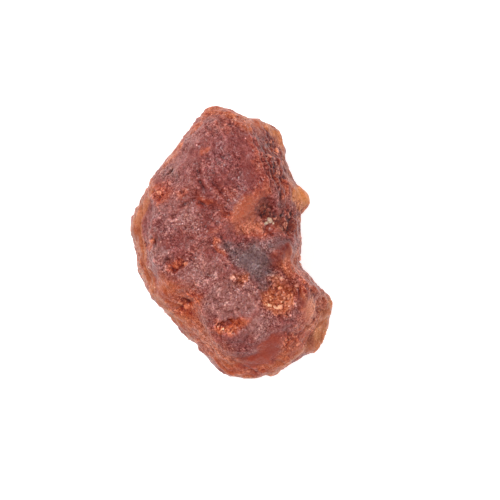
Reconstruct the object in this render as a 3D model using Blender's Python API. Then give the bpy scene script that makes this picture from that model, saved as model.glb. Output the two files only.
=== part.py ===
"""Rough garnet: one water-worn stone, lying on the flattest side of its back.

The frame has +Z up and its origin on the surface that the stone rests on, below the middle of
its box. The stone's broad face looks up, with its long side along Y.
"""

import math

import bmesh
import bpy
import numpy as np
from mathutils import Vector, noise

MM = 0.001
THICKNESS = 10.6
CELLS = 80
SHARE_OF_FACES_KEPT = 0.122

# The stone's outline seen from above, in millimetres, anticlockwise from the bay on its right.
# The knob above the bay isn't in it: that is a lump of its own.
OUTLINE = (
    (6.0, 0.15), (5.9, 1.4), (5.95, 2.7), (6.0, 4.0), (5.7, 5.3), (5.2, 6.4), (4.85, 7.4),
    (4.7, 8.55), (4.35, 9.5), (3.6, 10.45), (2.5, 11.0), (1.35, 11.05), (0.3, 11.4), (-0.6, 11.95),
    (-1.6, 12.15), (-2.35, 11.9), (-3.0, 11.25), (-4.15, 9.85), (-6.15, 7.4), (-7.0, 6.2),
    (-7.9, 4.95), (-8.75, 3.65), (-9.25, 2.3), (-9.3, 0.9), (-8.85, -0.95), (-8.4, -2.8),
    (-7.5, -4.5), (-6.35, -5.9), (-5.1, -7.2), (-3.8, -8.8), (-2.55, -10.2), (-1.35, -11.3),
    (0.0, -12.0), (1.4, -12.2), (2.7, -12.05), (3.8, -11.7), (4.95, -11.05), (6.1, -10.35),
    (7.3, -9.8), (8.1, -9.0), (8.65, -7.9), (8.7, -6.95), (9.15, -6.2), (9.1, -5.3),
    (8.4, -4.4), (7.5, -3.7), (6.65, -2.8), (6.0, -1.9), (6.05, -0.9),
)

# Seen from above, the angle in degrees, the height of the stone's widest edge there, and how far
# inside that edge its top has risen to full height.
EDGE = (
    (-150, 4.1, 3.2), (-120, 4.9, 3.4), (-95, 5.0, 3.2), (-65, 4.7, 3.4), (-40, 3.6, 3.0),
    (-15, 4.9, 2.6), (10, 5.2, 2.4), (35, 4.4, 2.8), (62, 3.5, 2.6), (85, 5.1, 3.0),
    (108, 5.3, 2.8), (133, 4.9, 2.8), (160, 4.0, 2.6), (183, 3.7, 2.4),
)
EDGE_BLEND = 40.0
UNDERSIDE_ROUNDING = 6.0
# How full the rounding is: 2 is a circle, and more is nearer to a square.
TOP_FULLNESS = 2.2
UNDERSIDE_FULLNESS = 2.9
SOFT_OUTLINE_DEGREES = 12.0

# The ridge that parts the broad face from the lower shelf on its right: (x, y) up the stone.
RIDGE = ((4.1, 1.2), (3.85, 3.8), (3.3, 5.8), (2.4, 8.3), (1.3, 11.2))
SHELF_DROP = 2.0
SHELF_TERRACES = ((0.0, 0.45), (0.75, 0.3), (1.5, 0.25))

# Highs and lows of the broad face, in millimetres:
# (x, y, half length, half width, angle in degrees, height).
FORMS = (
    (4.1, 9.5, 2.0, 1.4, -65, -2.3),     # thin flange beyond the shelf
    (7.8, -8.6, 1.9, 1.4, 70, -2.3),     # thin lobe at the lower right
    (8.6, -5.6, 1.1, 0.9, 0, -1.2),      # lobe above it
    (3.2, 2.4, 1.6, 1.3, 60, -1.35),     # dark hollow at the foot of the ridge
    (4.9, 1.6, 1.4, 1.0, 10, -0.7),      # trough that the hollow runs out through
    (1.0, 3.1, 1.5, 1.05, 70, 0.45),     # smooth shoulder beside the hollow
    (1.5, -1.5, 2.6, 1.5, -40, -0.9),    # grey saddle
    (4.3, -0.9, 1.4, 1.0, 0, 0.5),       # swell between the saddle and the bay
    (4.0, -4.4, 1.75, 1.35, -60, -0.9),  # broken granular patch
    (2.7, -6.7, 2.2, 0.9, 20, 0.4),      # swell below that patch
    (-1.9, 5.6, 3.2, 2.6, 70, 0.4),      # upper swell of the broad face
    (-5.6, 1.2, 2.2, 1.2, 80, 0.3),      # swell inside the left rim
    (-3.2, -3.6, 2.4, 1.2, -20, 0.35),   # swell across the middle
    (-6.85, -0.2, 0.7, 0.62, 60, -0.35),  # round pit near the left rim
    (-5.2, -1.9, 1.1, 0.65, 25, -0.4),   # double pit below it
    (-6.2, 3.9, 1.2, 0.7, 40, -0.35),
    (-2.6, 3.3, 1.6, 0.9, -30, -0.2),
    (-4.1, -5.5, 1.3, 0.9, 20, -0.35),
    (-0.5, -7.2, 1.3, 0.75, 15, -0.35),
    (-2.0, -0.6, 1.5, 0.7, -35, -0.2),
    (0.6, -3.6, 1.0, 0.7, 30, -0.3),
    (3.6, -9.3, 2.4, 1.1, 32, -0.35),    # smooth worn facet near the lower edge
    (5.4, -8.2, 0.9, 0.8, 0, -0.3),
)

# Grooves and ribs: (start x, y, end x, y, half width, height).
LINES = (
    (6.4, -4.2, 7.0, -7.3, 0.6, 0.5),    # smooth rib inside the right lobe
    (7.6, -4.9, 7.8, -6.7, 0.5, -0.5),   # groove between that rib and the lobe
    (9.3, -6.8, 6.6, -8.6, 0.5, -0.7),   # crease below the lobe
)

# Where the rim lies lower than the broad face: (from angle, to angle, width inside, drop).
RIM_STEPS = ((146, 216, 1.1, 2.0), (218, 266, 2.3, 1.1))
RIM_SLOPE = 0.75
RIM_END_DEGREES = 14.0

# Lumps on the sides, in millimetres: (centre x, y, z, reach, push x, y, z).
LUMPS = (
    (6.3, 3.95, 4.5, 1.2, 0.95, -0.05, 0.1),    # knob above the bay
    (5.3, 9.0, 1.6, 2.0, -0.5, -0.3, 0.8),      # hollow below the flange
    (8.6, -8.4, 1.6, 2.0, -0.5, 0.3, 0.6),      # hollow below the lower right lobe
    (-9.0, 1.0, 1.2, 2.2, 0.5, 0.0, 0.6),       # hollow below the left rim
)

# Flats worn across the sides and the underside: (bearing and rise in degrees, depth of the cut).
FLATS = (
    (148, -30, 0.45), (118, -56, 0.6), (76, -34, 0.35), (30, -58, 0.7), (2, -26, 0.4),
    (-48, -46, 0.5), (-92, -28, 0.4), (-118, -60, 0.6), (-158, -38, 0.5), (196, -62, 0.5),
    (140, 44, 0.45), (-132, 36, 0.4), (-84, 46, 0.5), (98, 30, 0.3), (-20, 40, 0.3),
)
FLAT_SOFTNESS = 0.12

# Highs and lows of the underside: (x, y, radius, height).
BACK_FORMS = (
    (2.2, 5.4, 1.3, 0.9),
    (-4.4, 4.6, 1.0, 0.8),
    (4.3, -5.4, 1.2, 0.9),
    (-3.0, -6.8, 0.9, 0.7),
    (-0.2, -2.4, 0.7, 0.5),
)
REST_CLEARANCE = 0.45

# Unevenness of the whole surface: (wavelength, height), in millimetres.
GRAIN = ((7.5, 0.3), (3.1, 0.24), (1.5, 0.12))
# Where the stone broke into blocks: (x, y, half width, half height, share).
BROKEN = ((4.0, -4.4, 1.8, 1.7, 1.0), (3.4, 2.4, 1.6, 1.6, 0.7), (4.2, 7.0, 0.9, 3.6, 0.7))
BLOCK_SIZE = 1.2
BLOCK_HEIGHT = 0.4


def smooth_step(values, low, high):
    """Runs from 0 at low to 1 at high, with no corner at either end."""
    share = np.clip((values - low) / (high - low), 0.0, 1.0)
    return share * share * (3.0 - 2.0 * share)


def closed_curve(corners, steps=12):
    """Points on the smooth closed curve through the corners."""
    count = len(corners)
    found = []
    for i in range(count):
        a, b, c, d = (np.array(corners[(i + k - 1) % count]) for k in range(4))
        for t in np.arange(steps) / steps:
            slope = (c - a) * t
            bend = (2 * a - 5 * b + 4 * c - d) * t**2 + (3 * b - a - 3 * c + d) * t**3
            found.append(b + 0.5 * (slope + bend))
    return np.array(found)


def outline_radii(angles):
    """The outline's distance from the middle at each angle, and the same with its lobes worn off."""
    curve = closed_curve(OUTLINE)
    around = np.degrees(np.arctan2(curve[:, 1], curve[:, 0]))
    order = np.argsort(around)
    whole = np.arange(360.0)
    radius = np.interp(whole, around[order], np.hypot(*curve[order].T), period=360.0)
    turn = (whole[:, None] - whole[None, :] + 180.0) % 360.0 - 180.0
    weight = np.exp(-0.5 * (turn / SOFT_OUTLINE_DEGREES) ** 2)
    soft = np.minimum(radius, weight @ radius / weight.sum(axis=1) - 0.1)
    degrees = np.degrees(angles)
    sharp = np.interp(degrees, around[order], np.hypot(*curve[order].T), period=360.0)
    return sharp, np.interp(degrees, whole, soft, period=360.0)


def edge_values(angles, column):
    """One column of EDGE at each angle, running smoothly from entry to entry."""
    at = np.radians([row[0] for row in EDGE])
    weight = np.exp(EDGE_BLEND * (np.cos(angles[:, None] - at[None, :]) - 1.0))
    return weight @ np.array([row[column] for row in EDGE]) / weight.sum(axis=1)


def oval(x, y, form):
    """An oval rise or dip of the given height at its middle."""
    cx, cy, half_length, half_width, turn, height = form
    c, s = math.cos(math.radians(turn)), math.sin(math.radians(turn))
    along = ((x - cx) * c + (y - cy) * s) / half_length
    across = ((y - cy) * c - (x - cx) * s) / half_width
    return height * np.exp(-(along**2) - across**2)


def groove(x, y, line):
    """A groove or rib of one width from its start to its end."""
    x0, y0, x1, y1, half_width, height = line
    length = math.hypot(x1 - x0, y1 - y0)
    share = np.clip(((x - x0) * (x1 - x0) + (y - y0) * (y1 - y0)) / length**2, 0.0, 1.0)
    away = np.hypot(x - x0 - share * (x1 - x0), y - y0 - share * (y1 - y0))
    return height * np.exp(-((away / half_width) ** 2))


def shelf(x, y):
    """How far the surface has dropped in terraces on the right of the ridge."""
    past_ridge = x - np.interp(y, [point[1] for point in RIDGE], [point[0] for point in RIDGE])
    drop = sum(
        share * smooth_step(past_ridge, start - 0.15, start + 0.4)
        for start, share in SHELF_TERRACES
    )
    return SHELF_DROP * drop * smooth_step(y, 0.8, 3.2)


def broad_face(x, y, angles, inside):
    """Height of the top at each point, before it rounds down to the edge."""
    height = THICKNESS - 0.45 - 0.012 * (x + 0.8) ** 2 - 0.008 * (y - 0.5) ** 2 - shelf(x, y)
    for form in FORMS:
        height += oval(x, y, form)
    for line in LINES:
        height += groove(x, y, line)
    for start, end, width, drop in RIM_STEPS:
        turn = (np.degrees(angles) - start) % 360.0
        span = end - start
        along = smooth_step(turn, 0.0, RIM_END_DEGREES)
        along = along * (1.0 - smooth_step(turn, span - RIM_END_DEGREES, span))
        height -= drop * along * (1.0 - smooth_step(inside, width, width + RIM_SLOPE))
    return height


def underside(x, y):
    """Height of the back at each point: a shallow bowl with worn pits, cut flat where it rests."""
    height = 0.024 * (x + 0.4) ** 2 + 0.015 * (y - 0.3) ** 2 - REST_CLEARANCE
    for cx, cy, radius, rise in BACK_FORMS:
        height += rise * np.exp(-((x - cx) ** 2 + (y - cy) ** 2) / radius**2)
    return height


def rounded(inside, width, fullness):
    """A quarter round: 0 at the edge and 1 from width inwards."""
    share = np.clip(inside / width, 0.0, 1.0)
    return (1.0 - (1.0 - share) ** fullness) ** (1.0 / fullness)


def worn_body(directions):
    """Points of the stone in millimetres, one for each direction from its middle."""
    angles = np.arctan2(directions[:, 1], directions[:, 0])
    spread = np.hypot(directions[:, 0], directions[:, 1])
    sharp, soft = outline_radii(angles)
    radius = sharp + (soft - sharp) * smooth_step(np.abs(directions[:, 2]), 0.08, 0.55)
    inside = radius * (1.0 - spread)
    x = radius * spread * np.cos(angles)
    y = radius * spread * np.sin(angles)
    edge = edge_values(angles, 1)
    rise = rounded(inside, edge_values(angles, 2), TOP_FULLNESS)
    top = edge + (broad_face(x, y, angles, inside) - edge) * rise
    fall = rounded(inside, UNDERSIDE_ROUNDING, UNDERSIDE_FULLNESS)
    bottom = edge + (underside(x, y) - edge) * fall
    return np.column_stack([x, y, np.where(directions[:, 2] >= 0.0, top, bottom)])


def with_lumps(points):
    """Pushes the surface out or in around each lump's centre."""
    for cx, cy, cz, reach, *push in LUMPS:
        away = np.linalg.norm(points - (cx, cy, cz), axis=1)
        points = points + np.exp(-((away / reach) ** 4))[:, None] * push
    return points


def with_flats(points):
    """Presses the surface back to each flat, with a soft edge all round it."""
    for bearing, rise, depth in FLATS:
        a, e = math.radians(bearing), math.radians(rise)
        normal = np.array([math.cos(a) * math.cos(e), math.sin(a) * math.cos(e), math.sin(e)])
        reach = points @ normal
        beyond = reach - reach.max() + depth
        pressed = FLAT_SOFTNESS * np.logaddexp(0.0, beyond / FLAT_SOFTNESS)
        points = points - pressed[:, None] * normal
    return points


def unevenness(point):
    """How far the surface stands out at one point: rolling grain, and blocks where it broke."""
    x, y, z = point
    out = 0.0
    for wavelength, height in GRAIN:
        out += height * noise.noise(point / wavelength + Vector((11.3, 4.7, wavelength)))
    share = 0.12
    if z > 0.5 * THICKNESS:
        for cx, cy, half_width, half_height, most in BROKEN:
            away = ((x - cx) / half_width) ** 2 + ((y - cy) / half_height) ** 2
            share = max(share, most * math.exp(-(away**2)))
    near = noise.voronoi(point / BLOCK_SIZE)[0]
    return out + BLOCK_HEIGHT * share * (min(near[1] - near[0], 0.6) - 0.3)


def sphere_of_squares(cells):
    """A ball whose faces are all about the same size, from a cube cut into squares."""
    mesh = bmesh.new()
    bmesh.ops.create_cube(mesh, size=2.0)
    bmesh.ops.subdivide_edges(mesh, edges=mesh.edges[:], cuts=cells - 1, use_grid_fill=True)
    for vertex in mesh.verts:
        vertex.co = Vector([math.tan(0.25 * math.pi * side) for side in vertex.co]).normalized()
    return mesh


def shaped_mesh():
    """The stone as a fine mesh, in metres."""
    mesh = sphere_of_squares(CELLS)
    points = worn_body(np.array([vertex.co for vertex in mesh.verts]))
    points = with_flats(with_lumps(points))
    for vertex, point in zip(mesh.verts, points):
        vertex.co = point
    mesh.normal_update()
    moved = np.array([vertex.co + vertex.normal * unevenness(vertex.co) for vertex in mesh.verts])
    moved[:, :2] -= 0.5 * (moved[:, :2].min(axis=0) + moved[:, :2].max(axis=0))
    for vertex, point in zip(mesh.verts, moved * MM):
        vertex.co = point
    data = bpy.data.meshes.new("garnet_fine")
    mesh.to_mesh(data)
    mesh.free()
    return data


def thinned(data, share):
    """The same shape with only a share of its faces, small ones where it bends most."""
    helper = bpy.data.objects.new("fine_stone", data)
    bpy.context.scene.collection.objects.link(helper)
    helper.modifiers.new("fewer_faces", "DECIMATE").ratio = share
    found = bpy.data.meshes.new_from_object(helper.evaluated_get(bpy.context.evaluated_depsgraph_get()))
    bpy.data.objects.remove(helper)
    return found


def garnet_material():
    """Frosted red-brown stone."""
    material = bpy.data.materials.new("garnet_stone")
    material.use_nodes = True
    surface = material.node_tree.nodes["Principled BSDF"]
    surface.inputs["Base Color"].default_value = (0.32, 0.095, 0.065, 1.0)
    surface.inputs["Roughness"].default_value = 0.5
    surface.inputs["Metallic"].default_value = 0.0
    return material


def main():
    for obj in list(bpy.data.objects):
        bpy.data.objects.remove(obj)
    collection = bpy.data.collections.new("rough_garnet")
    bpy.context.scene.collection.children.link(collection)
    data = thinned(shaped_mesh(), SHARE_OF_FACES_KEPT)
    data.name = "garnet"
    for vertex in data.vertices:
        vertex.co.z = max(vertex.co.z, 0.0)
    data.materials.append(garnet_material())
    data.shade_smooth()
    collection.objects.link(bpy.data.objects.new("garnet", data))


main()
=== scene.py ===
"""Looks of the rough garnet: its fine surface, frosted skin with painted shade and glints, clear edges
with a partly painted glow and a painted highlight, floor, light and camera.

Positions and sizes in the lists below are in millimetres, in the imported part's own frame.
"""

import math
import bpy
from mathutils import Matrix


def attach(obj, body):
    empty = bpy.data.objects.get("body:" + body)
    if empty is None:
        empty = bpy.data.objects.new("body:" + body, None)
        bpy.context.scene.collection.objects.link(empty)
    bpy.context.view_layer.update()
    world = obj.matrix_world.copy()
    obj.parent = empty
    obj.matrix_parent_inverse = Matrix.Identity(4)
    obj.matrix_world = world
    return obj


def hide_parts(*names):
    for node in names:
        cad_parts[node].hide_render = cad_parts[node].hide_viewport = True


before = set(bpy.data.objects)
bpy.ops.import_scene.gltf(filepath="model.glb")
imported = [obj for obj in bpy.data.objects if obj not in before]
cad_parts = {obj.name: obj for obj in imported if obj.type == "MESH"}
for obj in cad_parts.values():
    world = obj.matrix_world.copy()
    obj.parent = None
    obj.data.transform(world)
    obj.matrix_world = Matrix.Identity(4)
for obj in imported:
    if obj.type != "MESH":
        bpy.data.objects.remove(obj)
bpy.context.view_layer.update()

from types import SimpleNamespace

import bpy
import numpy as np
from mathutils import Matrix, Vector, noise

MM = 0.001
FACE_SIZE = 0.12
ROUNDING_PASSES = 12
# How far up a place faces, as the height of its normal: from where it starts to count to where it
# counts in full, for pits and worn places, for tints, and for the skin that stays near the floor.
UPWARD = (-0.1, 0.3)
FACING = (-0.3, 0.15)
NOT_DOWNWARD = (-0.7, -0.1)
# The skin's unevenness fades out between these heights where it faces the floor.
FLOOR_FADE = (0.1, 1.3)
# How much of its height the skin loses where it is worn smooth.
WEAR = 0.7
# Small dips and wide hollows, where the material paints shade, with a painted highlight on the crests
# between them: (passes of averaging that find them, how strongly they show).
DIPS = (3, 12.0)
HOLLOWS = (24, 2.2)
# The power that turns a colour's value into how light it looks.
EYE = 2.2
# How much of a lighter or darker speck's change goes to red, green and blue.
NEUTRAL_CHANGE = (1.0, 0.97, 0.93)

# Unevenness of the whole skin: (wavelength, height).
GRAIN = ((2.2, 0.12), (1.0, 0.11), (0.5, 0.08), (0.26, 0.045))
# Fine wrinkles that run across the stone: (direction in degrees, width, height).
WRINKLES = ((-50, 0.6, 0.24), (40, 0.75, 0.18), (-58, 0.34, 0.09))
WRINKLE_LENGTH = 3.0
# How far the edges of pits and patches wander: (wavelength, reach).
WAVER = ((2.0, 0.8), (0.8, 0.42), (0.32, 0.18))
# Keeps the wandering edges the same in every run.
WAVER_SEED = 373
# Pits, crystals and worn places follow that wandering less than the tints do.
SLIGHT = 0.15

# Small pits and dents: (x, y, half length, half width, angle in degrees, depth).
PITS = (
    (-6.9, -0.2, 0.42, 0.34, 60, 0.4),     # round pit near the left rim
    (-7.1, 0.35, 0.2, 0.16, 60, 0.25),
    (-5.7, -1.75, 0.42, 0.28, 35, 0.25),   # double pit below it
    (-5.1, -2.35, 0.3, 0.2, -20, 0.2),
    (-4.4, -2.1, 0.3, 0.22, 20, 0.2),
    (-5.1, 2.35, 0.34, 0.3, 0, 0.22),      # ring pit
    (-5.5, 6.25, 0.34, 0.12, 60, 0.3),     # short slit
    (-6.5, 4.0, 0.5, 0.35, 40, 0.25),
    (-7.1, 4.5, 0.3, 0.25, 40, 0.2),
    (-4.4, 4.4, 0.3, 0.2, 30, 0.2),
    (-4.2, 3.3, 0.5, 0.2, 30, 0.16),
    (-2.6, 3.4, 0.4, 0.2, -30, 0.2),
    (-3.0, 2.4, 0.3, 0.15, 20, 0.15),
    (-1.0, 4.2, 0.4, 0.2, 50, 0.15),
    (-0.3, 2.4, 0.5, 0.25, -10, 0.22),
    (-3.3, -0.7, 0.45, 0.18, -50, 0.16),
    (-2.1, -3.0, 0.35, 0.2, 30, 0.18),
    (-3.6, -5.3, 0.4, 0.3, 20, 0.2),
    (-4.4, -5.8, 0.35, 0.25, -30, 0.2),
    (-0.9, -7.3, 0.35, 0.25, 15, 0.2),
    (-0.1, -7.0, 0.3, 0.2, 50, 0.2),
    (-2.4, -8.2, 0.4, 0.3, 60, 0.2),
    (0.8, -3.6, 0.35, 0.25, 10, 0.2),
    (8.3, -4.9, 0.35, 0.28, 20, 0.25),
    (7.9, -6.1, 0.3, 0.22, 70, 0.22),
    (3.9, 2.5, 0.45, 0.3, 30, 0.2),        # deepest parts of the hollow
    (4.9, 1.4, 0.5, 0.3, -30, 0.25),
)

# Thin grooves, steps and cracks: (points, half width, depth).
GROOVES = (
    (((-8.0, 3.4), (-8.15, 1.6), (-8.0, -0.4), (-7.75, -2.0), (-7.2, -3.6)), 0.13, 0.2),
    (((1.3, 10.9), (2.0, 9.3), (2.7, 7.4), (3.3, 5.8), (3.7, 4.4)), 0.14, 0.17),
    (((1.9, 10.4), (2.7, 8.7), (3.4, 6.9), (3.9, 5.4)), 0.11, 0.14),
    (((-7.5, -2.3), (-6.9, -2.75), (-6.2, -2.75), (-5.7, -2.4)), 0.09, -0.06),
    (((-6.35, 0.75), (-6.15, 0.2), (-6.2, -0.35)), 0.08, -0.06),
    (((7.4, -4.9), (7.45, -6.0), (7.2, -7.1)), 0.18, 0.14),
    (((8.9, -6.7), (8.0, -7.3), (7.1, -8.0), (6.4, -8.8)), 0.14, 0.12),
    (((-0.9, 0.5), (-0.3, -0.5), (0.1, -1.3)), 0.13, 0.16),
)

# Places where the stone broke into sugary grains: (x, y, half length, half width, angle, share).
SUGARY = (
    (4.15, -4.6, 2.2, 1.8, -60, 1.0),      # bright patch
    (3.4, 2.3, 1.7, 1.3, 50, 0.7),         # hollow
    (5.2, 2.1, 0.9, 1.3, 20, 0.6),
    (4.0, 6.5, 1.1, 3.2, 18, 0.75),        # shelf
    (3.3, 9.2, 0.8, 1.5, 25, 0.7),
    (5.5, -8.9, 1.3, 0.8, 10, 0.9),
    (8.0, -5.7, 0.8, 1.4, 0, 0.6),
    (7.7, -7.4, 0.8, 0.8, 0, 0.5),
    (6.4, -3.6, 0.5, 1.4, 30, 0.5),
    (-4.2, -5.5, 1.2, 0.9, 20, 0.8),
    (-0.6, -7.2, 1.4, 0.8, 15, 0.8),
    (-2.6, -9.3, 0.9, 1.4, 40, 0.6),
    (1.6, -11.4, 2.2, 0.6, 0, 0.5),
    (-6.6, 4.1, 1.0, 0.8, 40, 0.7),
    (-5.1, -1.9, 1.1, 0.6, 35, 0.8),
    (1.0, -3.5, 0.8, 0.6, 0, 0.8),
    (0.2, 10.6, 1.5, 0.8, 20, 0.5),
    (-0.3, -5.2, 2.2, 1.4, 10, 0.35),
    (-2.0, 1.9, 1.6, 1.0, 0, 0.3),
)
SUGAR_SIZE = 0.46
SUGAR_HEIGHT = 0.17
SUGAR_GAP = 0.12
# The share of it on the plain skin, and in the patches on the sides and the underside.
LEAST_SUGARY = 0.08
SIDE_SUGARY = 0.75
# Each gives the crystal faces another set of tilts, lifts or tones.
TILT_KEY, LIFT_KEY, TONE_KEY = 7.3, 5.1, 3.7

# Tints of the skin: (x, y, half length, half width, angle in degrees, share).
TINTS = {
    "pink": (
        (0.0, -4.8, 2.9, 2.1, 10, 1.0),        # frosted swell below the middle
        (2.4, -7.4, 2.1, 1.3, 20, 0.8),
        (-2.4, -2.7, 2.6, 1.5, 20, 0.8),
        (-5.3, 6.6, 1.4, 1.9, -40, 0.8),
        (-3.8, 9.0, 0.8, 2.2, -38, 0.7),
        (-4.6, 2.0, 2.6, 1.5, 0, 0.6),
        (-3.6, 6.9, 1.6, 1.0, 0, 0.4),
        (5.7, -5.7, 0.6, 1.3, 0, 0.7),
        (5.3, -6.6, 0.9, 1.0, 0, 0.5),
        (-6.4, -1.5, 1.4, 1.6, 0, 0.6),
    ),
    "plum": (
        (-0.6, 7.6, 1.8, 1.2, 60, 0.8),        # deeper mauve on the upper swell
        (0.9, 5.4, 1.2, 1.4, 0, 0.7),
        (-6.0, 1.6, 1.2, 1.0, 0, 0.8),
        (-1.9, 5.0, 1.2, 1.6, -40, 0.5),
        (5.9, 1.9, 0.9, 1.2, 0, 0.8),
        (-1.3, -6.0, 0.9, 0.6, 30, 0.5),
        (0.7, -8.6, 1.3, 1.5, 10, 0.6),
    ),
    "brick": (
        (4.9, -1.2, 1.5, 1.7, 0, 1.0),         # swell beside the bay
        (5.3, 1.9, 1.1, 1.7, 0, 0.9),
        (4.0, 6.5, 1.3, 3.3, 18, 1.0),         # shelf
        (3.2, 9.2, 0.9, 1.6, 25, 1.0),
        (6.4, -4.2, 0.9, 1.6, 30, 0.9),
        (2.9, 4.6, 0.7, 1.3, 0, 0.6),
        (-0.8, 10.4, 2.4, 1.6, 0, 0.4),        # below the top
        (-2.4, 3.6, 1.6, 0.6, -30, 0.6),
    ),
    "red": (
        (-6.3, 4.2, 1.4, 0.9, 30, 0.7),
        (-4.4, 4.4, 0.9, 0.5, 20, 0.5),
        (-7.0, -0.2, 0.5, 0.5, 0, 0.8),
        (-5.2, -1.8, 1.0, 0.6, 35, 0.8),
        (-4.1, -5.4, 1.6, 1.0, 20, 1.0),
        (-5.2, -4.0, 1.6, 0.8, -45, 0.4),
        (0.0, -7.3, 1.7, 0.8, 15, 0.9),
        (4.9, 4.8, 0.5, 1.5, 15, 0.7),         # shelf
        (3.6, 8.3, 0.3, 1.0, 20, 0.5),
        (2.1, 7.6, 0.5, 2.2, 20, 0.5),         # along the ridge
        (4.5, 1.0, 1.4, 0.9, 0, 0.5),
        (-2.1, 8.1, 0.7, 0.5, 0, 0.6),
        (-0.6, 10.3, 1.8, 1.1, 0, 0.35),
        (-0.4, 4.3, 1.2, 0.6, 30, 0.35),
        (-2.2, 3.7, 1.5, 0.5, -30, 0.5),
        (2.6, 4.2, 0.7, 1.3, -20, 0.6),
        (-0.9, -0.4, 0.4, 1.4, 32, 0.9),       # red seam beside the saddle
        (-0.1, 2.3, 1.4, 0.6, -10, 0.6),
        (-1.6, 1.2, 1.0, 0.4, 20, 0.4),
        (-2.6, -1.3, 1.4, 0.5, -30, 0.3),
        (6.4, -7.6, 1.2, 1.1, 0, 0.6),
        (-2.6, -9.0, 1.0, 1.8, 40, 0.6),
        (1.2, -11.3, 2.8, 0.8, 0, 0.8),
        (6.3, -3.5, 0.6, 1.6, 30, 0.7),
        (5.6, -8.9, 1.3, 0.9, 10, 0.9),
        (2.6, 0.8, 1.5, 0.5, 10, 0.6),
    ),
    "orange": (
        (1.2, 2.9, 1.2, 1.5, -30, 0.9),        # smooth shoulder beside the hollow
        (1.6, 1.5, 1.4, 0.8, 10, 0.7),
        (4.15, -4.6, 1.8, 1.5, -60, 1.0),      # sugary patch
        (1.0, -3.4, 0.7, 0.7, 0, 0.8),
        (6.6, -5.8, 0.5, 1.8, 8, 0.6),         # rib in the right lobe
        (5.3, -1.9, 0.65, 1.6, -15, 0.7),
        (-4.4, -2.0, 0.5, 0.3, 30, 0.9),
        (-2.4, -8.6, 1.7, 0.9, -48, 0.8),
        (-1.0, -9.6, 1.3, 1.2, 0, 0.5),
        (-4.6, -5.0, 0.9, 0.8, -48, 0.5),
        (8.2, -5.4, 0.7, 1.1, 10, 0.8),        # bulge
        (7.6, -7.2, 0.9, 0.6, 30, 0.6),
        (5.7, -9.3, 0.9, 0.5, 10, 0.6),
        (5.8, -8.7, 0.8, 0.6, 10, 0.4),
        (2.0, -11.6, 2.2, 0.5, 0, 0.3),
        (0.6, 10.6, 0.8, 0.6, 0, 0.3),         # below the top
    ),
    "peach": (
        (3.6, -5.1, 0.8, 1.0, 20, 0.9),        # lightest parts of the sugary patch
        (4.9, -4.9, 0.9, 0.6, -30, 0.9),
        (3.7, -3.5, 0.5, 0.6, 0, 0.6),
        (5.1, -3.7, 0.6, 0.5, 0, 0.5),
        (6.7, -6.0, 0.45, 1.6, 8, 0.7),
        (1.0, -3.4, 0.4, 0.4, 0, 0.8),
        (-4.4, -2.0, 0.35, 0.22, 30, 0.8),
        (-0.2, -7.5, 0.7, 0.35, 15, 0.5),
        (0.4, 10.6, 0.6, 0.4, 0, 0.4),
    ),
    "grey": (
        (0.6, -0.7, 2.0, 0.9, -25, 0.7),       # saddle
        (2.1, -1.7, 2.1, 1.6, -35, 1.0),
        (3.9, -0.2, 1.5, 0.8, 10, 0.6),
        (-5.6, 6.2, 0.9, 0.7, 0, 0.5),
        (-6.2, -0.9, 0.9, 0.7, 0, 0.4),
        (2.6, -3.4, 1.0, 0.7, -50, 0.6),
    ),
    "clear": (
        (3.5, -9.4, 1.5, 0.9, 50, 1.0),        # smooth window near the lower edge
        (2.4, -10.4, 2.0, 0.55, 12, 1.0),
        (2.0, 7.0, 0.5, 1.5, 15, 0.35),
        (2.6, 5.3, 0.6, 1.2, 10, 0.4),
    ),
    # Darker brown over the hollow, partly painted shade where it is deepest, and painted shade in the
    # short slit and the small pits on the bulge.
    "dark": (
        (3.3, 2.6, 1.4, 0.9, 130, 0.8),        # hollow
        (4.5, 1.7, 1.2, 0.9, -30, 0.9),
        (4.9, 1.4, 0.8, 0.6, 0, 0.6),
        (8.1, -4.8, 0.3, 0.25, 0, 0.7),
        (7.6, -5.9, 0.25, 0.3, 0, 0.5),
        (8.8, -6.9, 0.35, 0.15, 30, 0.7),
        (-5.5, 6.25, 0.34, 0.14, 60, 1.0),
    ),
    # Bright yellow-orange of the thin flange, knob and lobe, partly painted glow of light coming
    # through them.
    "yellow": (
        (4.75, 9.4, 2.1, 0.5, -58, 1.0),       # flange
        (3.3, 10.6, 0.9, 0.45, -20, 0.9),
        (6.4, 3.9, 1.0, 0.85, -45, 1.0),       # knob
        (8.1, -8.5, 1.6, 0.75, 62, 1.0),       # lobe at the lower right
        (8.9, -5.9, 0.8, 0.45, 90, 0.8),
    ),
}

# Pale crystals in the hollow, and places worn smooth, in the same terms.
CRYSTALS = (
    (3.4, 1.88, 0.2, 0.32, 30, 1.0),
    (3.12, 1.66, 0.24, 0.12, -10, 0.9),
    (3.7, 1.6, 0.16, 0.1, 60, 0.9),
)
SMOOTH = (
    (1.1, 2.9, 1.4, 1.7, -30, 0.85),       # shoulder
    (3.5, -9.4, 1.6, 1.0, 50, 1.0),        # window near the lower edge
    (2.4, -10.4, 2.0, 0.6, 12, 0.8),
    (1.5, 6.2, 0.7, 2.4, 15, 0.6),         # along the ridge
    (4.6, -0.9, 1.2, 1.2, 0, 0.7),         # swell beside the bay
    (2.0, -1.6, 1.9, 1.2, -35, 0.6),       # saddle
    (-0.6, 8.0, 1.6, 1.6, 0, 0.35),
    (6.6, -5.8, 0.6, 1.8, 8, 0.7),         # rib in the right lobe
    (-3.4, -8.0, 2.2, 0.8, -50, 0.4),
)

# The skin's colours, each tint as two that mix in clouds.
SKIN = ((0.22, 0.032, 0.026), (0.265, 0.05, 0.041))
PALER_SKIN = ((0.23, 0.046, 0.036), (0.275, 0.068, 0.055))
CREAM = ((0.52, 0.34, 0.24), (0.78, 0.64, 0.5))
LIGHTEST = (0.92, 0.9, 0.88)
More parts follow.
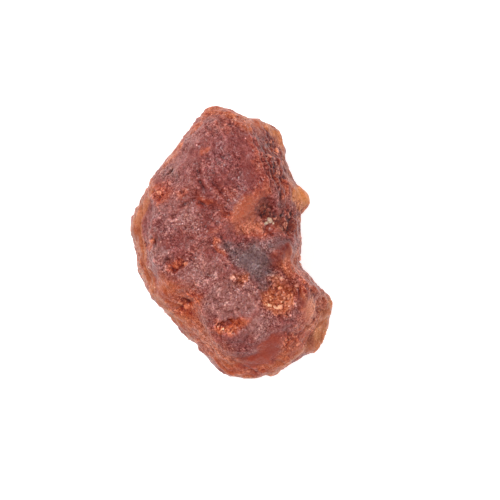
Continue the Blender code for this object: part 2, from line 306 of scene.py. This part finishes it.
# Tints of the sides and the underside: (cloud size, offset, from, to, the two colours).
SIDE_TINTS = (
    (3.2, 11.0, 0.5, 0.62, (0.27, 0.032, 0.009), (0.36, 0.068, 0.02)),    # rust
    (3.2, 11.0, 0.46, 0.36, (0.25, 0.062, 0.054), (0.31, 0.1, 0.088)),    # plum
    (2.4, 17.0, 0.56, 0.66, (0.36, 0.075, 0.016), (0.44, 0.115, 0.034)),  # amber
)
# The tints in the order they are laid on: (name, share where it starts, share where it is full,
# how far the grain breaks up its edge, the two colours).
LAYERS = (
    ("plum", 0.1, 0.9, 0.15, (0.205, 0.036, 0.033), (0.245, 0.055, 0.052)),
    ("pink", 0.1, 0.9, 0.15, (0.27, 0.08, 0.066), (0.345, 0.125, 0.108)),
    # Duller orange band at the rim, partly painted glow of light coming through.
    ("rust", 0.0, 1.0, 0.15, (0.36, 0.05, 0.008), (0.45, 0.09, 0.02)),
    ("brick", 0.1, 0.9, 0.15, (0.16, 0.008, 0.001), (0.22, 0.019, 0.004)),
    ("red", 0.1, 0.9, 0.15, (0.34, 0.036, 0.006), (0.45, 0.075, 0.02)),
    ("orange", 0.1, 0.9, 0.15, (0.4, 0.08, 0.032), (0.5, 0.125, 0.055)),
    ("peach", 0.1, 0.9, 0.15, (0.46, 0.11, 0.045), (0.6, 0.18, 0.085)),
    ("grey", 0.1, 0.9, 0.15, (0.15, 0.07, 0.068), (0.205, 0.11, 0.11)),
    ("clear", 0.2, 0.7, 0.1, (0.28, 0.026, 0.008), (0.33, 0.038, 0.012)),
    # Darker brown, partly painted shade in the hollow, the slit and the pits.
    ("dark", 0.1, 0.9, 0.15, (0.14, 0.012, 0.002), (0.23, 0.032, 0.009)),
    # Bright orange band at the rim, painted glow of light coming through the thin stone.
    ("amber", 0.05, 0.95, 0.15, (0.36, 0.07, 0.018), (0.45, 0.12, 0.038)),
    # Pale edge: painted highlight along the rim.
    ("edge", 0.2, 0.8, 0.15, (0.37, 0.13, 0.085), (0.47, 0.2, 0.14)),
    # Flange, knob and lobe: partly painted glow of light coming through.
    ("yellow", 0.2, 0.8, 0.15, (0.47, 0.115, 0.026), (0.6, 0.2, 0.06)),
)

# Width of the bright orange band inside the outline at each angle in degrees, painted glow of light
# coming through the thin rim over the stone's orange body: (angle, width).
AMBER_GLOW_BAND = (
    (-178, 1.1), (-165, 1.15), (-155, 1.1), (-145, 0.8), (-135, 0.6), (-122, 0.45), (-110, 0.25),
    (-95, 0.15), (-75, 0.2), (-62, 0.5), (-52, 1.3), (-44, 1.5), (-36, 1.0), (-28, 0.4), (-15, 0.1),
    (0, 0.05), (15, 0.05), (24, 0.5), (32, 0.8), (42, 0.3), (52, 0.4), (58, 0.7), (66, 0.8),
    (72, 0.8), (80, 0.3), (95, 0.1), (105, 0.05), (120, 0.12), (128, 0.3), (135, 0.1), (142, 0.2),
    (148, 0.7), (158, 1.0),
)
# Width of the pale edge outside it, a painted highlight along the frosted rim.
PALE_EDGE_SHEEN = (
    (-178, 0.4), (-165, 0.38), (-150, 0.12), (-140, 0.05), (-120, 0.04), (-60, 0.05), (-40, 0.15),
    (-20, 0.05), (20, 0.05), (28, 0.12), (40, 0.05), (60, 0.06), (72, 0.05), (100, 0.05),
    (112, 0.2), (125, 0.3), (135, 0.15), (145, 0.2), (155, 0.4), (170, 0.42),
)
# Width of the duller orange-red band behind it, the stone's body showing where it thins towards the
# rim, partly painted as glow of light coming through.
RUST_GLOW_BAND = (
    (-178, 1.1), (-160, 1.5), (-145, 3.0), (-132, 3.8), (-118, 3.6), (-105, 2.6), (-90, 1.9),
    (-75, 1.7), (-60, 2.2), (-50, 3.0), (-40, 3.4), (-30, 2.0), (-15, 0.8), (0, 0.3), (20, 0.5),
    (40, 1.2), (60, 1.8), (75, 1.8), (88, 1.4), (100, 0.9), (115, 0.5), (135, 0.5), (150, 1.0),
)


def smooth_step(values, low, high):
    """Runs from 0 at low to 1 at high, with no corner at either end."""
    share = np.clip((values - low) / (high - low), 0.0, 1.0)
    return share * share * (3.0 - 2.0 * share)


def oval(x, y, form):
    """An oval patch: its last value at the middle, fading to nothing outside it."""
    cx, cy, half_length, half_width, turn, most = form
    c, s = math.cos(math.radians(turn)), math.sin(math.radians(turn))
    along = ((x - cx) * c + (y - cy) * s) / half_length
    across = ((y - cy) * c - (x - cx) * s) / half_width
    return most * np.exp(-((along**2 + across**2) ** 1.5))


def greatest(patches, x, y):
    """The most that any of the patches gives at each point."""
    return np.max([oval(x, y, patch) for patch in patches], axis=0)


def line_distance(x, y, corners):
    """Distance of each point from the bent line through the corners, seen from above."""
    nearest = np.full(len(x), 1e9)
    for (x0, y0), (x1, y1) in zip(corners, corners[1:]):
        dx, dy = x1 - x0, y1 - y0
        share = np.clip(((x - x0) * dx + (y - y0) * dy) / (dx * dx + dy * dy), 0.0, 1.0)
        nearest = np.minimum(nearest, np.hypot(x - x0 - share * dx, y - y0 - share * dy))
    return nearest


def even_mesh(node):
    """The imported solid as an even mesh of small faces, in millimetres."""
    source = node.data.copy()
    source.transform(Matrix.Scale(1.0 / MM, 4))
    helper = bpy.data.objects.new("garnet_source", source)
    bpy.context.scene.collection.objects.link(helper)
    helper.modifiers.new("joined_corners", "WELD").merge_threshold = 0.0005
    remesh = helper.modifiers.new("even_faces", "REMESH")
    remesh.mode = "VOXEL"
    remesh.voxel_size = FACE_SIZE
    depsgraph = bpy.context.evaluated_depsgraph_get()
    mesh = bpy.data.meshes.new_from_object(helper.evaluated_get(depsgraph))
    bpy.data.objects.remove(helper)
    return mesh


def positions(mesh):
    """The mesh's points as one array."""
    found = np.empty(3 * len(mesh.vertices))
    mesh.vertices.foreach_get("co", found)
    return found.reshape(-1, 3)


def moved(mesh, points):
    """Puts the mesh's points at these places, and returns the normals there."""
    mesh.vertices.foreach_set("co", points.ravel())
    mesh.update()
    found = np.empty(3 * len(mesh.vertices))
    mesh.vertices.foreach_get("normal", found)
    return found.reshape(-1, 3)


def averaged(values, edges, passes):
    """Each point's values moved halfway to those of its neighbours, the given number of times."""
    ends = np.concatenate([edges[:, 0], edges[:, 1]])
    others = np.concatenate([edges[:, 1], edges[:, 0]])
    count = np.bincount(ends, minlength=len(values))
    for _ in range(passes):
        columns = [
            np.bincount(ends, weights=values[others, k], minlength=len(values)) / count
            for k in range(values.shape[1])
        ]
        values = 0.5 * (values + np.column_stack(columns))
    return values


def sugar(points, share):
    """Height of small tilted crystal faces where the share isn't nothing, and each one's tone."""
    height = np.zeros(len(points))
    tone = np.full(len(points), 0.5)
    for i in np.nonzero(share > 0.03)[0]:
        point = Vector(points[i]) / SUGAR_SIZE
        distances, centres = noise.voronoi(point)
        tilt = noise.cell_vector(centres[0] * TILT_KEY) - Vector((0.5, 0.5, 0.5))
        lift = noise.cell(centres[0] * LIFT_KEY + Vector((3.0, 1.0, 2.0)))
        gap = distances[1] - distances[0] < SUGAR_GAP
        height[i] = 0.75 * (lift - 0.5) + 1.3 * (point - centres[0]).dot(tilt) - 0.3 * gap
        # Gaps between crystals get tone 0, where the material paints shade.
        tone[i] = 0.0 if gap else 0.2 + 0.8 * noise.cell(centres[0] * TONE_KEY)
    return SUGAR_HEIGHT * share * height, tone


def wander(points):
    """How far patches are shifted at each point, so that their edges aren't smooth."""
    noise.seed_set(WAVER_SEED)
    shift = np.zeros((len(points), 3))
    for wavelength, reach in WAVER:
        shift += reach * np.array([noise.noise_vector(Vector(p) / wavelength) for p in points])
    return shift


def clouds(points, wavelength, offset):
    """Smooth noise at each point, about -0.5 to 0.5."""
    shift = Vector(offset)
    return np.array([noise.noise(Vector(p) / wavelength + shift) for p in points])


def stretched(points, direction):
    """The points squeezed along one direction seen from above, so that noise there runs in streaks."""
    c, s = math.cos(math.radians(direction)), math.sin(math.radians(direction))
    along = points[:, 0] * c + points[:, 1] * s
    across = points[:, 1] * c - points[:, 0] * s
    return np.column_stack([along / WRINKLE_LENGTH, across, points[:, 2]])


def skin_height(points, x, y, upward):
    """How far the fine skin stands out at each point."""
    height = np.zeros(len(points))
    for wavelength, most in GRAIN:
        height += most * clouds(points, wavelength, (5.2, 1.7, 10.0 * wavelength))
    # The wrinkles take turns, so that they don't all cross in one place.
    patchy = smooth_step(clouds(points, 2.4, (8.0, 1.0, 4.0)), -0.15, 0.25)
    for direction, width, most in WRINKLES:
        height += most * patchy * clouds(stretched(points, direction), width, (2.1, 6.4, 0.3))
        patchy = 1.0 - patchy
    for pit in PITS:
        height -= upward * oval(x, y, pit)
    for corners, half_width, depth in GROOVES:
        away = line_distance(x, y, corners)
        height -= upward * depth * np.exp(-((away / half_width) ** 2))
    return height


def sugary_share(points, x, y, upward):
    """How sugary each point is, with patches of its own on the sides and the underside."""
    share = np.maximum(LEAST_SUGARY, upward * greatest(SUGARY, x, y))
    elsewhere = smooth_step(clouds(points, 3.6, (0.0, 9.0, 3.0)), 0.1, 0.35)
    return np.maximum(share, SIDE_SUGARY * (1.0 - upward) * elsewhere)


def outline_distance(points):
    """How far each point lies inside the outline that the stone shows from above."""
    angle = np.degrees(np.arctan2(points[:, 1], points[:, 0])) % 360.0
    radius = np.hypot(points[:, 0], points[:, 1])
    furthest = np.zeros(360)
    np.maximum.at(furthest, angle.astype(int) % 360, radius)
    return np.interp(angle, np.arange(360) + 0.5, furthest, period=360.0) - radius


def band_share(inside, angle, band, low, high):
    """1 in the band along the outline, fading between the low and high share of its width."""
    at = [row[0] for row in band]
    width = np.interp(angle, at, [row[1] for row in band], period=360.0)
    return 1.0 - smooth_step(inside / width, low, high)


def edge_shares(points, normals, shift):
    """Shares of the bands along the outline, fading out where the sides turn steep: the pale edge is a
    painted highlight, and the amber and rust bands are the stone's orange body partly painted as glow
    of light coming through the thin rim.
    """
    inside = outline_distance(points)
    angle = np.degrees(np.arctan2(points[:, 1], points[:, 0]))
    above = smooth_step(normals[:, 2] + 0.3 * shift[:, 0], -0.15, 0.6)
    return {
        "edge": above * band_share(inside + 0.15 * shift[:, 1], angle, PALE_EDGE_SHEEN, 0.5, 1.2),
        "amber": above * band_share(inside + 0.17 * shift[:, 2], angle, AMBER_GLOW_BAND, 0.8, 1.1),
        "rust": above * band_share(inside + 0.4 * shift[:, 2], angle, RUST_GLOW_BAND, 0.2, 1.4),
    }


def store(mesh, name, values):
    """Keeps one number for each point of the mesh."""
    layer = mesh.attributes.new(name, "FLOAT", "POINT")
    layer.data.foreach_set("value", np.ascontiguousarray(values, dtype=np.float32))


def slightly(points, shift):
    """The points seen from above, wandering only a little."""
    return points[:, 0] + SLIGHT * shift[:, 0], points[:, 1] + SLIGHT * shift[:, 1]


def skin_shares(points, normals, shift):
    """Shares of the tints, bands, crystals, worn places and sugary places at each point."""
    upward = smooth_step(normals[:, 2], *UPWARD)
    facing = smooth_step(normals[:, 2], *FACING)
    x, y = points[:, 0] + shift[:, 0], points[:, 1] + shift[:, 1]
    slight_x, slight_y = slightly(points, shift)
    shares = {name: facing * greatest(patches, x, y) for name, patches in TINTS.items()}
    shares.update(edge_shares(points, normals, shift))
    shares["cream"] = upward * greatest(CRYSTALS, slight_x, slight_y)
    thin_places = [0.9 * shares["yellow"], shares["amber"], shares["edge"], 0.7 * shares["rust"]]
    worn = np.maximum(upward * greatest(SMOOTH, slight_x, slight_y), 0.6 * np.max(thin_places, axis=0))
    shares["smooth"] = worn
    shares["sugary"] = sugary_share(points, x, y, upward) * (1.0 - 0.8 * worn)
    shares["turned"] = 1.0 - upward
    return shares


def relief(points, normals, shift, shares):
    """Height of the skin with its crystal faces, and each face's tone."""
    crystals, tone = sugar(points, shares["sugary"])
    skin = skin_height(points, *slightly(points, shift), 1.0 - shares["turned"])
    height = skin * (1.0 - WEAR * shares["smooth"]) + crystals
    clear_of_floor = smooth_step(points[:, 2], *FLOOR_FADE)
    not_downward = smooth_step(normals[:, 2], *NOT_DOWNWARD)
    return height * np.maximum(clear_of_floor, not_downward), tone


def sunken(points, edges, normals, passes, strength):
    """Above 0.5 where a point lies below the average of its surroundings, and less where above."""
    below = np.einsum("ij,ij->i", averaged(points, edges, passes) - points, normals)
    return np.clip(0.5 + strength * below, 0.0, 1.0)


def garnet_surface():
    """The stone's fine surface, with the shares that its material reads."""
    mesh = even_mesh(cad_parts["garnet"])
    points = positions(mesh)
    low, high = points.min(axis=0), points.max(axis=0)
    edges = np.array([tuple(edge.vertices) for edge in mesh.edges])
    points = averaged(points, edges, ROUNDING_PASSES)
    normals = moved(mesh, points)
    shift = wander(points)
    shares = skin_shares(points, normals, shift)
    height, shares["tone"] = relief(points, normals, shift, shares)
    points = np.clip(points + height[:, None] * normals, low, high)
    points[:, 2] = np.maximum(points[:, 2], 0.0)
    normals = moved(mesh, points)
    shares["dip"] = sunken(points, edges, normals, *DIPS)
    shares["hollow"] = sunken(points, edges, normals, *HOLLOWS)
    for name, values in shares.items():
        store(mesh, name, values)
    mesh.transform(Matrix.Scale(MM, 4))
    mesh.shade_smooth()
    mesh.materials.clear()
    mesh.materials.append(garnet_material())
    stone = bpy.data.objects.new("garnet_surface", mesh)
    bpy.context.scene.collection.objects.link(stone)
    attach(stone, "root")
    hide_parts("garnet")


class Tree:
    """Short ways to add nodes to a material."""

    def __init__(self, name):
        self.material = bpy.data.materials.new(name)
        self.material.use_nodes = True
        self.nodes = self.material.node_tree.nodes
        self.links = self.material.node_tree.links
        self.surface = self.nodes["Principled BSDF"]
        self.output = self.nodes["Material Output"]
        place = self.nodes.new("ShaderNodeTexCoord")
        scale = self.nodes.new("ShaderNodeVectorMath")
        scale.operation = "SCALE"
        scale.inputs["Scale"].default_value = 1.0 / MM
        self.links.new(place.outputs["Object"], scale.inputs[0])
        self.place = scale.outputs[0]

    def set(self, socket, value):
        """Links another node's output to the socket, or sets the socket's own value."""
        if isinstance(value, bpy.types.NodeSocket):
            self.links.new(value, socket)
        elif isinstance(value, tuple) and len(value) == 3 and socket.type == "RGBA":
            socket.default_value = (*value, 1.0)
        else:
            socket.default_value = value

    def share(self, name):
        """A share that the mesh keeps for each of its points."""
        found = self.nodes.new("ShaderNodeAttribute")
        found.attribute_name = name
        return found.outputs["Fac"]

    def maths(self, operation, a, b):
        """One arithmetic step on two values."""
        found = self.nodes.new("ShaderNodeMath")
        found.operation = operation
        self.set(found.inputs[0], a)
        self.set(found.inputs[1], b)
        return found.outputs[0]

    def step(self, value, low, high, start=0.0, end=1.0):
        """Runs from start to end while the value runs from low to high."""
        found = self.nodes.new("ShaderNodeMapRange")
        found.interpolation_type = "SMOOTHSTEP"
        self.set(found.inputs["Value"], value)
        found.inputs["From Min"].default_value = low
        found.inputs["From Max"].default_value = high
        found.inputs["To Min"].default_value = start
        found.inputs["To Max"].default_value = end
        return found.outputs["Result"]

    def mix(self, share, a, b, kind="MIX"):
        """Colour a with a share of colour b."""
        found = self.nodes.new("ShaderNodeMix")
        found.data_type = "RGBA"
        found.blend_type = kind
        self.set(found.inputs["Factor"], share)
        self.set(found.inputs[6], a)
        self.set(found.inputs[7], b)
        return found.outputs[2]

    def toned(self, colour, change):
        """The colour made lighter or darker by a share that looks the same in every channel."""
        seen = self.nodes.new("ShaderNodeGamma")
        seen.inputs["Gamma"].default_value = 1.0 / EYE
        self.set(seen.inputs["Color"], colour)
        spread = self.nodes.new("ShaderNodeVectorMath")
        spread.operation = "SCALE"
        spread.inputs[0].default_value = NEUTRAL_CHANGE
        self.set(spread.inputs["Scale"], change)
        changed = self.mix(1.0, seen.outputs["Color"], spread.outputs[0], "ADD")
        back = self.nodes.new("ShaderNodeGamma")
        back.inputs["Gamma"].default_value = EYE
        self.set(back.inputs["Color"], self.mix(1.0, changed, (0.0, 0.0, 0.0), "LIGHTEN"))
        return back.outputs["Color"]

    def total(self, *terms):
        """The sum of shares, each times its amount."""
        found = 0.0
        for share, amount in terms:
            node = self.nodes.new("ShaderNodeMath")
            node.operation = "MULTIPLY_ADD"
            self.set(node.inputs[0], share)
            self.set(node.inputs[1], amount)
            self.set(node.inputs[2], found)
            found = node.outputs[0]
        return found

    def clouds(self, size, detail, roughness, offset=0.0):
        """Soft noise of this size, another one for each offset."""
        found = self.nodes.new("ShaderNodeTexNoise")
        found.noise_dimensions = "4D"
        self.links.new(self.place, found.inputs["Vector"])
        found.inputs["W"].default_value = offset
        found.inputs["Scale"].default_value = 1.0 / size
        found.inputs["Detail"].default_value = detail
        found.inputs["Roughness"].default_value = roughness
        return found.outputs["Fac"]

    def cells(self, size, offset=(0.0, 0.0, 0.0)):
        """Distance from the middle of each small cell, and a tone of the cell's own."""
        moved_place = self.nodes.new("ShaderNodeVectorMath")
        moved_place.operation = "ADD"
        self.links.new(self.place, moved_place.inputs[0])
        moved_place.inputs[1].default_value = offset
        found = self.nodes.new("ShaderNodeTexVoronoi")
        self.links.new(moved_place.outputs[0], found.inputs["Vector"])
        found.inputs["Scale"].default_value = 1.0 / size
        parts = self.nodes.new("ShaderNodeSeparateColor")
        self.links.new(found.outputs["Color"], parts.inputs["Color"])
        return found.outputs["Distance"], parts.outputs["Red"]

    def specks(self, size, radius, rarity, offset):
        """Small dots, one in a share of the cells of this size."""
        distance, tone = self.cells(size, offset)
        near = self.step(distance, radius / size, 0.3 * radius / size)
        chosen = self.step(tone, 1.0 - rarity, 1.02 - rarity)
        return self.maths("MULTIPLY", near, chosen)


def garnet_textures(t):
    """The clouds and cells that the garnet's colour, gloss and bump share."""
    small = t.clouds(0.45, 2.0, 0.6, 3.0)
    fine = t.clouds(0.2, 2.0, 0.6, 5.0)
    distance, tone = t.cells(0.2)
    return SimpleNamespace(
        broad=t.clouds(2.8, 1.0, 0.5),
        middle=t.clouds(1.1, 2.0, 0.5, 2.0),
        fine=fine,
        grit=t.clouds(0.11, 1.0, 0.5, 6.0),
        gritty=t.step(t.clouds(1.9, 2.0, 0.5, 8.0), 0.35, 0.62, 0.45, 1.1),
        ragged=t.maths("SUBTRACT", t.maths("ADD", small, fine), 1.0),
        distance=distance,
        tone=tone,
    )


def patch(t, look, name, low, high, grain):
    """A share of the mesh with its edge broken up by the grain."""
    share = t.share(name)
    edge = t.maths("ADD", share, t.maths("MULTIPLY", look.ragged, grain))
    return t.maths("MULTIPLY", t.step(edge, low, high), t.step(share, 0.0, 0.15))


def two(t, look, a, b, low=0.36, high=0.64):
    """Two colours in clouds."""
    return t.mix(t.step(look.middle, low, high), a, b)


def tinted_skin(t, look):
    """The skin's colour before its fine grain."""
    skin = two(t, look, *SKIN)
    skin = t.mix(t.step(look.broad, 0.4, 0.62), skin, two(t, look, *PALER_SKIN))
    for size, offset, low, high, a, b in SIDE_TINTS:
        cloud = t.step(t.clouds(size, 2.0, 0.5, offset), low, high)
        skin = t.mix(t.maths("MULTIPLY", t.share("turned"), cloud), skin, two(t, look, a, b))
    for name, low, high, grain, a, b in LAYERS:
        skin = t.mix(patch(t, look, name, low, high, grain), skin, two(t, look, a, b))
    return skin


def painted_form_light_and_shade(t):
    """Painted shade in hollows, dips and the gaps between crystals, painted highlights on crests,
    painted glints on sugary crystals, and crystal faces lighter or darker by their own tone.
    """
    sugary, tone = t.share("sugary"), t.share("tone")
    return t.total(
        # Painted shade in wide hollows and small dips, and a painted highlight on the crests.
        (t.step(t.share("hollow"), 0.55, 0.9), -0.07),
        (t.step(t.share("dip"), 0.52, 0.85), -0.1),
        (t.step(t.share("dip"), 0.48, 0.15), 0.12),
        # Painted shade in the gaps between crystals, faces lighter by their own tone, and painted
        # glints on some of them.
        (t.maths("MULTIPLY", sugary, t.step(tone, 0.3, 0.0)), -0.07),
        (t.maths("MULTIPLY", sugary, t.step(tone, 0.35, 0.85)), 0.36),
        (t.maths("MULTIPLY", sugary, t.specks(0.34, 0.1, 0.3, (2.0, 5.0, 8.0))), 0.5),
    )


def frost_and_painted_light(t, look):
    """Lighter and darker frosted grains and specks, fewer where the stone is worn smooth; they stand
    partly for the frosted skin's own grain and partly for painted shade and painted sparkle of the
    fine roughness, and the rare bright specks are painted glints.
    """
    lighter = t.maths("MULTIPLY", t.step(look.tone, 0.45, 1.0), t.step(look.fine, 0.4, 0.65))
    darker = t.maths("MULTIPLY", t.step(look.tone, 0.6, 0.0), t.step(look.fine, 0.6, 0.35))
    frost_shade_and_sparkle = t.total(
        (lighter, 0.09),
        (darker, -0.1),
        (t.maths("SUBTRACT", look.grit, 0.5), 0.9),
        # Bright specks: painted sparkle.
        (t.specks(0.25, 0.065, 0.3, (1.0, 2.0, 3.0)), 0.26),
        # Darker specks: painted shade of tiny pits.
        (t.specks(0.36, 0.1, 0.4, (7.0, 4.0, 1.0)), -0.13),
    )
    calm = t.step(t.share("smooth"), 0.1, 0.9, 1.0, 0.2)
    return t.total(
        (t.maths("MULTIPLY", frost_shade_and_sparkle, look.gritty), calm),
        # Rare brighter specks: painted glints, also where the stone is worn smooth.
        (t.specks(0.62, 0.1, 0.2, (3.0, 9.0, 5.0)), 0.42),
    )


def fine_bump(t, look):
    """The roughness that is too fine for the mesh."""
    bump = t.nodes.new("ShaderNodeBump")
    bump.inputs["Strength"].default_value = 0.6
    bump.inputs["Distance"].default_value = 0.08 * MM
    t.set(bump.inputs["Height"], t.maths("SUBTRACT", look.fine, look.distance))
    return bump.outputs["Normal"]


def garnet_material():
    """Frosted mauve-red skin over orange-red stone that lets a little light through, with painted glow
    at its thin edges and painted shade, highlights and glints on its skin.
    """
    t = Tree("garnet_stone")
    look = garnet_textures(t)
    # Painted shade, highlights and glints and the frosted grain, added to the skin's colour.
    change = t.maths("ADD", frost_and_painted_light(t, look), painted_form_light_and_shade(t))
    skin = t.toned(tinted_skin(t, look), change)
    cream = two(t, look, *CREAM, 0.45, 0.55)
    skin = t.mix(patch(t, look, "cream", 0.25, 0.75, 0.7), skin, cream)
    skin = t.mix(1.0, skin, LIGHTEST, "DARKEN")

    surface = t.surface
    t.set(surface.inputs["Base Color"], skin)
    t.set(surface.inputs["Roughness"], t.step(look.tone, 0.0, 1.0, 0.55, 0.3))
    t.set(surface.inputs["Normal"], fine_bump(t, look))
    surface.inputs["IOR"].default_value = 1.76
    surface.inputs["Specular IOR Level"].default_value = 0.14
    surface.inputs["Transmission Weight"].default_value = 0.16
    surface.inputs["Subsurface Weight"].default_value = 0.3
    surface.inputs["Subsurface Radius"].default_value = (1.0, 0.35, 0.15)
    surface.inputs["Subsurface Scale"].default_value = 0.5 * MM
    absorption = t.nodes.new("ShaderNodeVolumeAbsorption")
    absorption.inputs["Color"].default_value = (0.95, 0.3, 0.05, 1.0)
    absorption.inputs["Density"].default_value = 0.4 / MM
    t.links.new(absorption.outputs[0], t.output.inputs["Volume"])
    return t.material


def floor():
    """A plain pale floor."""
    mesh = bpy.data.meshes.new("floor")
    half = 1.2
    corners = [(-half, -half, 0.0), (half, -half, 0.0), (half, half, 0.0), (-half, half, 0.0)]
    mesh.from_pydata(corners, [], [(0, 1, 2, 3)])
    plane = bpy.data.objects.new("floor", mesh)
    plane.location.z = -0.02 * MM
    bpy.context.scene.collection.objects.link(plane)
    material = bpy.data.materials.new("pale_floor")
    material.use_nodes = True
    surface = material.node_tree.nodes["Principled BSDF"]
    surface.inputs["Base Color"].default_value = (0.9, 0.9, 0.9, 1.0)
    surface.inputs["Roughness"].default_value = 0.9
    surface.inputs["Specular IOR Level"].default_value = 0.1
    surface.inputs["Emission Color"].default_value = (1.0, 1.0, 1.0, 1.0)
    surface.inputs["Emission Strength"].default_value = 0.55
    mesh.materials.append(material)


def softbox(name, place, aim, size, power):
    """A square soft light at a place, turned towards the aim, in metres and watts."""
    data = bpy.data.lights.new(name, "AREA")
    data.size = size
    data.energy = power
    lamp = bpy.data.objects.new(name, data)
    lamp.location = place
    lamp.rotation_mode = "QUATERNION"
    lamp.rotation_quaternion = (Vector(place) - Vector(aim)).to_track_quat("Z", "Y")
    bpy.context.scene.collection.objects.link(lamp)


def studio():
    """Soft light from above and a pale world."""
    centre = (0.0, 0.0, 0.005)
    softbox("key", (-0.18, 0.2, 0.4), centre, 0.1, 1.95)
    softbox("fill", (0.3, -0.2, 0.32), centre, 0.3, 0.95)
    world = bpy.data.worlds.new("pale_studio")
    world.use_nodes = True
    nodes, links = world.node_tree.nodes, world.node_tree.links
    place = nodes.new("ShaderNodeTexCoord")
    parts = nodes.new("ShaderNodeSeparateXYZ")
    opening = nodes.new("ShaderNodeMapRange")
    opening.inputs["From Min"].default_value = 0.6
    opening.inputs["From Max"].default_value = 0.95
    opening.inputs["To Min"].default_value = 0.6
    opening.inputs["To Max"].default_value = 0.15
    links.new(place.outputs["Generated"], parts.inputs["Vector"])
    links.new(parts.outputs["Z"], opening.inputs["Value"])
    links.new(opening.outputs["Result"], nodes["Background"].inputs["Strength"])
    nodes["Background"].inputs["Color"].default_value = (1.0, 1.0, 1.0, 1.0)
    bpy.context.scene.world = world
    bpy.context.scene.view_settings.view_transform = "Standard"


def camera():
    """The camera looks straight down on the broad face, as in the photograph."""
    data = bpy.data.cameras.new("camera")
    data.sensor_width = 36.0
    data.lens = 150.0
    data.clip_start = 0.01
    data.clip_end = 10.0
    view = bpy.data.objects.new("camera", data)
    wide_edge = 4.5 * MM
    picture_width = 45.0 * MM
    distance = data.lens / data.sensor_width * picture_width
    view.location = (1.64 * MM, -0.69 * MM, wide_edge + distance)
    bpy.context.scene.collection.objects.link(view)
    bpy.context.scene.camera = view


garnet_surface()
floor()
studio()
camera()
